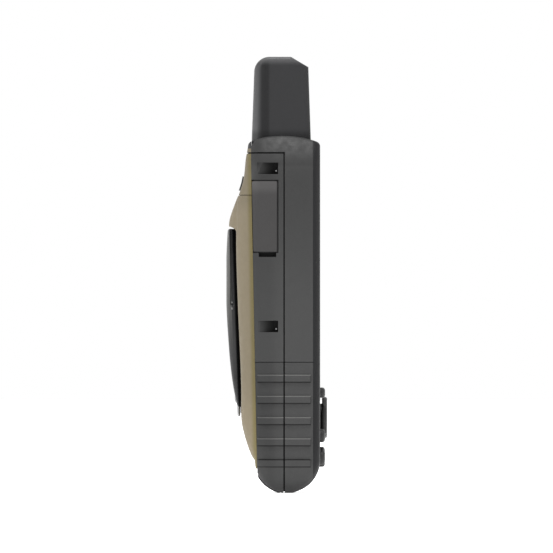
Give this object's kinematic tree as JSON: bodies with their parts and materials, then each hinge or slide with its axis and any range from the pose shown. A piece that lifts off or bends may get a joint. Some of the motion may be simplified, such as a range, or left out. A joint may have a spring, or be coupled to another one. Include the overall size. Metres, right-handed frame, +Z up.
{
  "type": "handheld satellite navigator",
  "caption": "Rugged handheld satellite navigator with stub antenna, screen, rubber keys, rocker pad, battery door with mounting spine, and side weather cap.",
  "frame": {"origin": "centre of the bounding box in plan, level with the foot of the device", "axes": "+Z up the case to the antenna, -Y the front with the screen and keys, +Y the back with the battery door, -X the side with the data port"},
  "size_m": [0.061, 0.037, 0.16],
  "materials": {
    "case_plastic": "fine spark-eroded texture, dark grey",
    "case_rubber": "matte elastomer, dark grey",
    "grip_rubber": "matte soft-touch rubber, dark grey",
    "bezel_plastic": "satin, near black",
    "tan_plastic": "fine texture, olive tan",
    "black_plastic": "satin, black",
    "jack_cap_rubber": "matte",
    "key_rubber": "smooth",
    "mat_rubber": "translucent silicone",
    "lens_glass": "clear, anti-glare",
    "adhesive": "foam tape",
    "display": "transflective panel",
    "backlight": "diffuser",
    "circuit_board": "green solder mask",
    "components": "moulded epoxy",
    "steel": "bright",
    "gold": "gold plated",
    "ceramic": "glazed ceramic",
    "copper": "bright copper",
    "card": "gloss",
    "battery_wrap": "printed sleeve over a can"
  },
  "bodies": {
    "housing": {"antenna_arms": "copper", "antenna_board": "circuit_board", "antenna_core": "ceramic", "antenna_cover": "case_plastic", "antenna_jack": "gold", "antenna_lead": "copper", "back_cover": "tan_plastic", "battery_left": "battery_wrap", "battery_right": "battery_wrap", "beeper": "components", "board_chips": "components", "card_socket": "steel", "case_gasket": "case_rubber", "case_screws": "steel", "catch_pins": "steel", "contact_bridge": "steel", "contact_plates": "steel", "contact_springs": "steel", "data_port": "steel", "display_backlight": "backlight", "display_lens": "lens_glass", "display_panel": "display", "display_tray": "black_plastic", "door_seal": "case_rubber", "foot_bumper": "grip_rubber", "front_bezel": "bezel_plastic", "front_case": "case_plastic", "grip_left": "grip_rubber", "grip_right": "grip_rubber", "key_domes": "steel", "keypad_board": "circuit_board", "keypad_mat": "mat_rubber", "lens_tape": "adhesive", "main_board": "circuit_board", "memory_card": "card", "port_board": "circuit_board", "power_switch": "components", "rear_case": "case_plastic", "receiver_shield": "steel", "rocker_seat": "black_plastic"},
    "door": {"battery_door": "tan_plastic", "mounting_spine": "black_plastic", "rail_studs": "steel"},
    "latch": {"latch_barrel": "steel", "latch_tongue": "steel", "latch_screw": "steel"},
    "ring": {"latch_ring": "steel"},
    "port_flap": {"port_cap": "case_rubber"},
    "jack_flap": {"jack_cap": "jack_cap_rubber"},
    "rocker_cross": {"rocker_pivot": "steel"},
    "rocker_disc": {"rocker": "key_rubber"},
    "power_button": {"power_key": "key_rubber"},
    "key_back_cap": {"key_back": "key_rubber"},
    "key_enter_cap": {"key_enter": "key_rubber"},
    "key_find_cap": {"key_find": "key_rubber"},
    "key_mark_cap": {"key_mark": "key_rubber"},
    "key_menu_cap": {"key_menu": "key_rubber"},
    "key_page_cap": {"key_page": "key_rubber"},
    "key_zoom_in_cap": {"key_zoom_in": "key_rubber"},
    "key_zoom_out_cap": {"key_zoom_out": "key_rubber"}
  },
  "joints": [
    {"name": "door_swing", "type": "hinge", "parent": "housing", "child": "door", "pos_m": [0, 0.01415, 0.1092], "axis": [1, 0, 0], "range_deg": [0, 70]},
    {"name": "latch_turn", "type": "hinge", "parent": "door", "child": "latch", "pos_m": [0, 0.0133, 0.0365], "axis": [0, 1, 0], "range_deg": [0, 90]},
    {"name": "ring_flip", "type": "hinge", "parent": "latch", "child": "ring", "pos_m": [0, 0.01398, 0.0365], "axis": [1, 0, 0], "range_deg": [0, 95]},
    {"name": "port_cap_flap", "type": "hinge", "parent": "housing", "child": "port_flap", "pos_m": [-0.0305, 0.004, 0.1147], "axis": [0, 1, 0], "range_deg": [0, 110]},
    {"name": "jack_cap_flap", "type": "hinge", "parent": "housing", "child": "jack_flap", "pos_m": [0, 0.0125, 0.11635], "axis": [1, 0, 0], "range_deg": [0, 100]},
    {"name": "rocker_tilt_up_down", "type": "hinge", "parent": "housing", "child": "rocker_cross", "pos_m": [0, -0.0124, 0.0275], "axis": [1, 0, 0], "range_deg": [-4, 4], "stiffness_Nm_per_rad": 0.05},
    {"name": "rocker_tilt_left_right", "type": "hinge", "parent": "rocker_cross", "child": "rocker_disc", "pos_m": [0, -0.0124, 0.0275], "axis": [0, 0, 1], "range_deg": [-4, 4], "stiffness_Nm_per_rad": 0.05},
    {"name": "power_key_press", "type": "slide", "parent": "housing", "child": "power_button", "axis": [-1, 0, 0], "range_m": [0, 0.0005], "stiffness_N_per_m": 3000},
    {"name": "key_back_press", "type": "slide", "parent": "housing", "child": "key_back_cap", "axis": [0, 1, 0], "range_m": [0, 0.0004], "stiffness_N_per_m": 3000},
    {"name": "key_enter_press", "type": "slide", "parent": "housing", "child": "key_enter_cap", "axis": [0, 1, 0], "range_m": [0, 0.0004], "stiffness_N_per_m": 3000},
    {"name": "key_find_press", "type": "slide", "parent": "housing", "child": "key_find_cap", "axis": [0, 1, 0], "range_m": [0, 0.0004], "stiffness_N_per_m": 3000},
    {"name": "key_mark_press", "type": "slide", "parent": "housing", "child": "key_mark_cap", "axis": [0, 1, 0], "range_m": [0, 0.0004], "stiffness_N_per_m": 3000},
    {"name": "key_menu_press", "type": "slide", "parent": "housing", "child": "key_menu_cap", "axis": [0, 1, 0], "range_m": [0, 0.0004], "stiffness_N_per_m": 3000},
    {"name": "key_page_press", "type": "slide", "parent": "housing", "child": "key_page_cap", "axis": [0, 1, 0], "range_m": [0, 0.0004], "stiffness_N_per_m": 3000},
    {"name": "key_zoom_in_press", "type": "slide", "parent": "housing", "child": "key_zoom_in_cap", "axis": [0, 1, 0], "range_m": [0, 0.0004], "stiffness_N_per_m": 3000},
    {"name": "key_zoom_out_press", "type": "slide", "parent": "housing", "child": "key_zoom_out_cap", "axis": [0, 1, 0], "range_m": [0, 0.0004], "stiffness_N_per_m": 3000}
  ]
}
